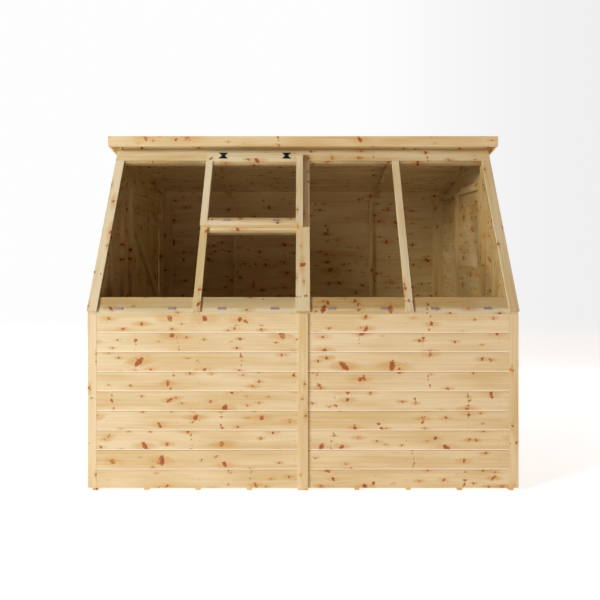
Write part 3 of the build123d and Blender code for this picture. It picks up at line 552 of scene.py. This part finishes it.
# Walls
boarded("front_boards", "front_wall", X, Z, -Y)
boarded("back_boards", "back_wall", X, Z, Y)
boarded("right_boards", "right_wall", Y, Z, X)
boarded("left_front_boards", "left_wall_front", Y, Z, -X)
boarded("left_boards_beside_door", "left_wall_beside_door", Y, Z, -X)
boarded("left_boards_over_door", "left_wall_over_door", Y, Z, -X)
boarded("sill_board_below_door", "door_sill_board", Y, Z, -X)
for strips in ("front_corner_strips", "back_corner_strips", "front_joint_strip", "back_joint_strip"):
    whole(strips + "_pine", strips, Z, X)
whole("side_trims_pine", "side_trims", Z, Y)

# Floor
whole("bearers", "floor_bearers", Y, X, FLOORING, "floor_timber")
row_of_boards("floor_planks", "floor_boards", X, Y, "floor_timber", FLOORING, FLOOR_PLANK_W)

# Roof
whole("header_beam", "roof_header", X, Z, FRAMING, "frame_timber")
whole("purlin", "eaves_purlin", X, Z, FRAMING, "frame_timber")
whole("rafters", "roof_rafters", DOWN_ROOF, OFF_ROOF, FRAMING, "frame_timber")
row_of_boards("roof_planks", "roof_boards", X, DOWN_ROOF, "cladding", CLADDING, ROOF_PLANK_W)
whole("front_fascia_board", "front_fascia", X, Z)
whole("back_fascia_board", "back_fascia", X, Z)
whole("bargeboards_pine", "bargeboards", DOWN_ROOF, OFF_ROOF)


def panel_frame(name, node, across_axis, studs_of):
    """Studs cut out of a framed panel from foot to head, and rails between them."""
    piece = Timber(name, FRAMING, "frame_timber", [node])
    for solid in solids(node):
        low, high = span(solid, across_axis)
        studs = sorted(studs_of(low, high))
        for start, end in studs:
            piece.length(between(solid, (across_axis, start, end)), Z, across_axis)
        for (_, start), (end, _) in zip(studs, studs[1:]):
            piece.loose(between(solid, (across_axis, start, end)), across_axis, Z)
    piece.build()


def centred(middle, width=STUD_W):
    """Both edges of a stud around its middle."""
    return middle - width / 2, middle + width / 2


def with_ends(low, high, *studs):
    """A panel's end studs and those between them."""
    return [(low, low + STUD_W), *studs, (high - STUD_W, high)]


def front_studs(low, high):
    """One stud in the middle of a front panel."""
    return with_ends(low, high, centred((low + high) / 2))


def back_studs(low, high):
    """One thin stud near the middle of a back panel."""
    return with_ends(low, high, centred(math.copysign(BACK_STUD_X, low + high), BACK_STUD_W))


SIDE_STUD_Y = FRONT_Y + FRONT_PANEL_STUD
REAR_STUD_Y = FRONT_PANEL_END + HALF_PANEL_GAP + REAR_PANEL_STUD
LATCH_Y = DOOR_LO.y - DOOR_CLEAR
HINGE_Y = DOOR_HI.y + DOOR_CLEAR


def front_side_studs(low, high):
    """One stud in the panel under the leaning window."""
    return with_ends(low, high, centred(SIDE_STUD_Y))


def right_studs(low, high):
    """The right wall is two panels, each with one stud between its ends."""
    if high < FRONT_PANEL_END + HALF_PANEL_GAP:
        return front_side_studs(low, high)
    return with_ends(low, high, centred(REAR_STUD_Y))


def door_frame_studs(low, high):
    """Posts on the latch side and the hinge side of the door."""
    return with_ends(low, high, (LATCH_Y - STUD_W, LATCH_Y), (HINGE_Y, HINGE_Y + STUD_W))


panel_frame("front_framing", "front_frame", X, front_studs)
panel_frame("back_framing", "back_frame", X, back_studs)
panel_frame("right_framing", "right_frame", Y, right_studs)
panel_frame("left_front_framing", "left_frame_front", Y, front_side_studs)
panel_frame("door_framing", "left_door_frame", Y, door_frame_studs)

# Leaning window
window = Timber("window_framing", FRAMING, "frame_timber", ["window_frame"])
for solid in solids("window_frame"):
    low, high = span(solid, X)
    side = 1 if low + high > 0 else -1
    inner, outer = (low, high) if side > 0 else (-high, -low)
    for start, end in ((inner, INNER_STILE_W), MUNTIN, (outer - SIDE_STILE_W, outer)):
        limits = sorted((side * start, side * end))
        window.length(between(solid, (X, *limits)), UP_SLOPE, X)
    for start, end in ((INNER_STILE_W, MUNTIN[0]), (MUNTIN[1], outer - SIDE_STILE_W)):
        limits = sorted((side * start, side * end))
        window.loose(between(solid, (X, *limits)), X, UP_SLOPE)
window.build()

whole("glazing_bars", "glazing_battens", UP_SLOPE, X)
whole("bar_below_vent", "vent_sill_batten", X, UP_SLOPE)
whole("window_side_strips", "side_cover_strips", UP_SLOPE, X)
whole("window_head_board", "top_cover_board", X, UP_SLOPE)

vent = Timber("vent_sash", TRIM, "trim_timber", ["vent_frame"])
for solid in solids("vent_frame"):
    low, high = span(solid, X)
    for start, end in ((low, low + VENT_STILE_W), (high - VENT_STILE_W, high)):
        vent.length(between(solid, (X, start, end)), UP_SLOPE, X)
    vent.loose(between(solid, (X, low + VENT_STILE_W, high - VENT_STILE_W)), X, UP_SLOPE)
vent.build()
whole("vent_hinge_bar", "vent_hinge_strip", X, UP_SLOPE)

# Door
boarded("door_planks", "door_boards", Z, Y, -X, "door", DOOR_LO.y + DOOR_PLANK_W, DOOR_PLANK_W)
whole("ledges_on_door", "door_ledges", Y, Z, FRAMING, "frame_timber", "door")
whole("braces_on_door", "door_braces", BRACE_WAY, BRACE_WAY.cross(X), FRAMING, "frame_timber", "door")

stops = Timber("stops_round_door", TRIM, "trim_timber", ["door_stops"])
for solid in solids("door_stops"):
    low, high = span(solid, Z)
    foot, head = low + STOP_W, high - STOP_W
    for limits in ((low, foot), (head, high)):
        stops.length(between(solid, (Z, *limits)), Y, Z)
    stops.loose(between(solid, (Z, foot, head)), Z, Y)
stops.build()


class Heads:
    """Many small round heads of nails or screws, as one piece."""

    def __init__(self, name, material, slot, body="shed"):
        self.name, self.material, self.slot, self.body = name, material, slot, body
        self.points, self.faces = [], []

    def head(self, place, out, radius, height, sides=10, dimple=0.0):
        """A domed head on a face, with a small socket in its middle if dimple is given."""
        across = out.orthogonal().normalized()
        along = out.cross(across)
        rings = [(1.0, -SUNK), (0.95, height * 0.55), (0.62, height)]
        if dimple:
            rings += [(0.38, height), (0.30, height - dimple)]
        base = len(self.points)
        for share, up in rings:
            for i in range(sides):
                turn = 2 * math.pi * i / sides
                ray = across * math.cos(turn) + along * math.sin(turn)
                self.points.append(place + ray * radius * share + out * up)
        for ring in range(len(rings) - 1):
            for i in range(sides):
                j = (i + 1) % sides
                low, high = base + ring * sides, base + (ring + 1) * sides
                self.faces.append((low + i, low + j, high + j, high + i))
        self.faces.append([base + i for i in reversed(range(sides))])
        self.faces.append([base + (len(rings) - 1) * sides + i for i in range(sides)])

    def build(self):
        mesh = bpy.data.meshes.new(self.name)
        mesh.from_pydata(self.points, [], self.faces)
        mesh.materials.append(self.material)
        made = bpy.data.objects.new(self.name, mesh)
        bpy.context.scene.collection.objects.link(made)
        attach(made, self.body)


def spread(low, high):
    """Evenly spaced places for clout nails from low to high."""
    count = math.ceil((high - low) / CLOUT_SPACING)
    return [low + (high - low) * i / count for i in range(count + 1)]


def felt_roof():
    """Felt in three strips down the slope, each lapped over the next and held by clout nails."""
    piece = Timber("felt_strips", FELT, "felt", ["roof_felt"])
    nails = Heads("felt_nails", NAIL, "black_metal")
    solid = solids("roof_felt")[0]
    low, high = span(solid, DOWN_ROOF)
    left, right = span(solid, X)
    top = span(solid, OFF_ROOF)[1]

    def clout(x, down, rise=0.0):
        place = X * x + DOWN_ROOF * down + OFF_ROOF * (top + rise)
        nails.head(place, OFF_ROOF, CLOUT_RADIUS, CLOUT_HEIGHT)

    def row(down, rise=0.0):
        for x in spread(left + CLOUT_INSET, right - CLOUT_INSET):
            clout(x, down, rise)

    piece.length(as_bmesh(solid), X, DOWN_ROOF, 0)
    laps = [low + (high - low) * share for share in FELT_JOINT_SHARES]
    for down in laps:
        lap = between(solid, (DOWN_ROOF, down, down + FELT_LAP))
        bmesh.ops.translate(lap, verts=lap.verts, vec=OFF_ROOF * FELT_STEP)
        piece.length(lap, X, DOWN_ROOF, FELT_ARRIS)
        row(down + FELT_LAP - CLOUT_INSET, FELT_STEP)
    for down in (low + CLOUT_INSET, high - CLOUT_INSET):
        row(down)
    for x in (left + CLOUT_INSET, right - CLOUT_INSET):
        for down in spread(low + VERGE_START, high - VERGE_START):
            if all(not lap - LAP_CLEAR < down < lap + FELT_LAP for lap in laps):
                clout(x, down)
    piece.build()
    nails.build()


felt_roof()


def under_roof(along, line, z):
    """False where a nail on a side wall would be above the leaning front or too near the roof."""
    if along is X:
        return True
    slope_z = SILL_Z + (line - FRONT_Y) / math.tan(LEAN)
    roof_z = EAVES_Z + (BACK_Y - line) * math.tan(PITCH)
    return z < slope_z - NAIL_UNDER_SLOPE and z < roof_z - NAIL_UNDER_ROOF


def board_nails(name, node, along, outward, lines):
    """A nail head in the middle of each board, in line with each stud behind it."""
    nails = Heads(name, NAIL, "black_metal")
    for solid in solids(node):
        low, high = span(solid, Z)
        left, right = span(solid, along)
        face = span(solid, outward)[1]
        for line in lines:
            z = FIRST_JOINT - BOARD_PITCH / 2
            while left < line < right and z < high:
                if low + NAIL_INSET < z < high - NAIL_INSET and under_roof(along, line, z):
                    place = along * line + Z * z + outward * face
                    nails.head(place, outward, NAIL_RADIUS, NAIL_HEIGHT, 8)
                z += BOARD_PITCH
    nails.build()


CROSS_LINES = [side * x for side in (-1, 1) for x in NAIL_LINES]
board_nails("front_nails", "front_wall", X, -Y, CROSS_LINES)
board_nails("back_nails", "back_wall", X, Y, CROSS_LINES)
board_nails("right_nails", "right_wall", Y, X, [SIDE_STUD_Y, REAR_STUD_Y])
board_nails("left_front_nails", "left_wall_front", Y, -X, [SIDE_STUD_Y])
POSTS = [LATCH_Y - STUD_W / 2, HINGE_Y + STUD_W / 2]
board_nails("beside_door_nails", "left_wall_beside_door", Y, -X, POSTS)

screws = Heads("strap_screws", BLACK, "black_metal", "door")
for solid in solids("door_strap_hinges"):
    low, high = span(solid, Y)
    foot, head = span(solid, Z)
    outer_face = max(p.x for p in solid[0]) - STRAP_T
    for share in SCREW_SHARES:
        place = Vector((outer_face, low + (high - low) * share, (foot + head) / 2))
        screws.head(place, -X, SCREW_RADIUS, SCREW_HEIGHT, 12, SCREW_DIMPLE)
screws.build()

# Glass and metal keep the shapes of the CAD nodes
for node, material in (
    ("window_glass", GLASS),
    ("vent_glass", GLASS),
    ("vent_hinges", BLACK),
    ("door_hinge_plates", BLACK),
    ("door_strap_hinges", BLACK),
    ("door_handle", BLACK),
    ("glazing_clips", CLIP),
):
    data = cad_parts[node].data
    data.materials.clear()
    data.materials.append(material)

# Stage, camera and light
COVE = 0.5
COVE_STEPS = 16
BACKDROP_Y = FRONT_Y + 3.6
BACKDROP_NEAR = -14.0
BACKDROP_TOP = 12.0
BACKDROP_SIDE = 16.0
KEY_PLACE = (-11.3, -7.2, 4.7)
KEY_TARGET = (0, 0, 0.8)
KEY_SIZE = 4.0
KEY_WATTS = 1660
KEY_COLOUR = (0.93, 0.97, 1.0)
CAMERA_BACK = 3.273
CAMERA_Z = 1.388
LEVEL = math.pi / 2


def backdrop():
    """Floor and back wall in one sheet, with a rounded cove between them."""
    turn = [(BACKDROP_NEAR, 0.0)]
    for i in range(COVE_STEPS + 1):
        angle = math.pi / 2 * i / COVE_STEPS
        turn.append((BACKDROP_Y - COVE + COVE * math.sin(angle), COVE - COVE * math.cos(angle)))
    turn.append((BACKDROP_Y, BACKDROP_TOP))
    points = [(x, y, z) for y, z in turn for x in (-BACKDROP_SIDE, BACKDROP_SIDE)]
    faces = [(2 * i, 2 * i + 1, 2 * i + 3, 2 * i + 2) for i in range(len(turn) - 1)]
    mesh = bpy.data.meshes.new("backdrop")
    mesh.from_pydata(points, [], faces)
    mesh.shade_smooth()
    made = bpy.data.objects.new("backdrop", mesh)
    bpy.context.scene.collection.objects.link(made)
    made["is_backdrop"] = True
    return mesh


def paper():
    """White paper that glows a little, with painted shade on the wall, whose glow is dimmed towards the
    right, and clear from behind.
    """
    g = Graph("white_paper")
    across, _, up = g.split(g.node("ShaderNodeTexCoord").outputs["Object"])
    direct = g.node("ShaderNodeLightPath").outputs["Is Camera Ray"]
    glow = g.mix(direct, (0.66, 0.40, 0.22), (0.70, 0.70, 0.70))
    white = {"Base Color": (0.72, 0.73, 0.74, 1), "Roughness": 0.95, "Specular IOR Level": 0.0}
    white |= {"Emission Color": glow, "Emission Strength": 1.0}
    floor = g.node("ShaderNodeBsdfPrincipled", white).outputs[0]
    # Painted shade: the wall is glow only, dimmed towards the right to stand in for light falling off across
    # the backdrop.
    painted_wall_shade = g.step(across, 0.2, 3.4, 0.985, 0.87)
    wall = g.node("ShaderNodeEmission", {"Color": (1, 1, 1, 1), "Strength": painted_wall_shade}).outputs[0]
    rise = g.step(up, 0.0, COVE)
    sheet = g.node("ShaderNodeMixShader", {0: rise, 1: floor, 2: wall}).outputs[0]
    gone = g.node("ShaderNodeBsdfTransparent").outputs[0]
    behind = g.node("ShaderNodeNewGeometry").outputs["Backfacing"]
    return g.surface(g.node("ShaderNodeMixShader", {0: behind, 1: sheet, 2: gone}).outputs[0])


backdrop().materials.append(paper())


def studio_world():
    """Warm fill that is stronger from the left, behind a white that only the camera sees."""
    world = bpy.data.worlds.new("studio")
    bpy.context.scene.world = world
    world.use_nodes = True
    tree = world.node_tree
    tree.nodes.clear()
    way = tree.nodes.new("ShaderNodeTexCoord")
    parts = tree.nodes.new("ShaderNodeSeparateXYZ")
    tree.links.new(way.outputs["Generated"], parts.inputs[0])
    slant = tree.nodes.new("ShaderNodeMapRange")
    slant.inputs["From Min"].default_value = -1.0
    slant.inputs["To Min"].default_value = 0.34
    slant.inputs["To Max"].default_value = 0.02
    tree.links.new(parts.outputs["X"], slant.inputs["Value"])
    lit = tree.nodes.new("ShaderNodeBackground")
    lit.inputs["Color"].default_value = (1.0, 0.62, 0.45, 1)
    tree.links.new(slant.outputs[0], lit.inputs["Strength"])
    seen = tree.nodes.new("ShaderNodeBackground")
    seen.inputs["Color"].default_value = (1, 1, 1, 1)
    seen.inputs["Strength"].default_value = 0.975
    rays = tree.nodes.new("ShaderNodeLightPath")
    pick = tree.nodes.new("ShaderNodeMixShader")
    out = tree.nodes.new("ShaderNodeOutputWorld")
    tree.links.new(rays.outputs["Is Camera Ray"], pick.inputs[0])
    tree.links.new(lit.outputs[0], pick.inputs[1])
    tree.links.new(seen.outputs[0], pick.inputs[2])
    tree.links.new(pick.outputs[0], out.inputs[0])


studio_world()


def area_light(name, place, target, size, power, colour):
    """A round lamp at a place, turned to a target."""
    lamp = bpy.data.lights.new(name, "AREA")
    lamp.color = colour
    lamp.shape = "DISK"
    lamp.size = size
    lamp.energy = power
    made = bpy.data.objects.new(name, lamp)
    made.location = place
    made.rotation_euler = (Vector(target) - Vector(place)).to_track_quat("-Z", "Y").to_euler()
    bpy.context.scene.collection.objects.link(made)


area_light("key", KEY_PLACE, KEY_TARGET, KEY_SIZE, KEY_WATTS, KEY_COLOUR)

camera_data = bpy.data.cameras.new("camera")
camera_data.lens = 35
camera_data.sensor_width = 36
camera_data.shift_x = -0.005
camera_data.shift_y = -0.0933
camera = bpy.data.objects.new("camera", camera_data)
camera.location = (0, FRONT_Y - CAMERA_BACK, CAMERA_Z)
camera.rotation_euler = (LEVEL, 0, 0)
bpy.context.scene.collection.objects.link(camera)
bpy.context.scene.camera = camera
bpy.context.scene.view_settings.view_transform = "Standard"

[[list(corner) for corner in box] for box in (CAD_BOX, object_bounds())]
